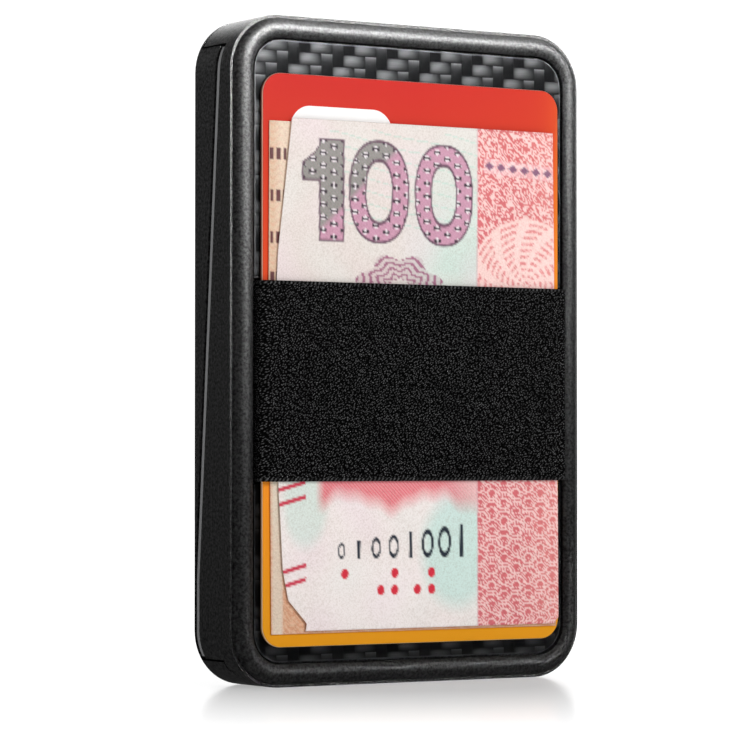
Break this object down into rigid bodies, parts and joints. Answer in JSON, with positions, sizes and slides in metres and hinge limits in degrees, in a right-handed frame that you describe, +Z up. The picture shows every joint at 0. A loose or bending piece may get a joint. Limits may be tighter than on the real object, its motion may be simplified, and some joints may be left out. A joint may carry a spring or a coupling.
{
  "type": "minimalist wallet",
  "caption": "Slim hard-shell card wallet that opens like a book at its bottom end, with carbon faces and an elastic band holding a card and folded notes.",
  "frame": {"origin": "middle of the bottom (hinge) end, halfway across the width and halfway through the case's thickness", "axes": "+Z up along the case's height, +X across its width, -Y out of the face with the elastic band, +Y out of the lid"},
  "size_m": [0.0636, 0.0148, 0.1005],
  "materials": {
    "shell_black": "satin, fine spark-eroded grain",
    "carbon": "clear-coated 2x2 twill carbon laminate",
    "tape": "black acrylic foam film",
    "shield_aluminium": "mill finish sheet",
    "elastic": "woven elastic, matte",
    "bar_steel": "brushed",
    "screw_steel": "zinc plated",
    "seal_grey": "light grey soft plastic",
    "magnet_nickel": "nickel plated",
    "felt": "pressed felt",
    "pin_steel": "ground",
    "washer_brass": "thin shim",
    "spring_steel": "blued spring steel",
    "card_plastic": "printed, red fading to amber",
    "note_tan": "printed cotton paper",
    "note_pale": "printed cotton paper"
  },
  "bodies": {
    "case": {"front_shell": "shell_black", "front_plate": "carbon", "front_plate_tape": "tape", "front_shield": "shield_aluminium", "elastic_band": "elastic", "band_clamp_bars": "bar_steel", "clamp_screws": "screw_steel", "seam_seal": "seal_grey", "magnets": "magnet_nickel", "card_pad": "felt", "hinge_pin": "pin_steel", "hinge_washers": "washer_brass"},
    "lid": {"rear_shell": "shell_black", "rear_plate": "carbon", "rear_plate_tape": "tape", "rear_shield": "shield_aluminium", "keeper_plate": "bar_steel", "keeper_screws": "screw_steel", "card_spring": "spring_steel"},
    "card": {"bank_card": "card_plastic"},
    "note_inside": {"inner_note": "note_tan"},
    "note_outside": {"outer_note": "note_pale"}
  },
  "joints": [
    {"name": "lid_hinge", "type": "hinge", "parent": "case", "child": "lid", "pos_m": [0, -0.0013, 0.00125], "axis": [-1, 0, 0], "range_deg": [0, 75]},
    {"name": "card_slide", "type": "slide", "parent": "case", "child": "card", "axis": [0, 0, 1], "range_m": [0, 0.005]},
    {"name": "inner_note_slide", "type": "slide", "parent": "case", "child": "note_inside", "axis": [0, 0, 1], "range_m": [0, 0.055]},
    {"name": "outer_note_slide", "type": "slide", "parent": "case", "child": "note_outside", "axis": [0, 0, 1], "range_m": [0, 0.055]}
  ]
}
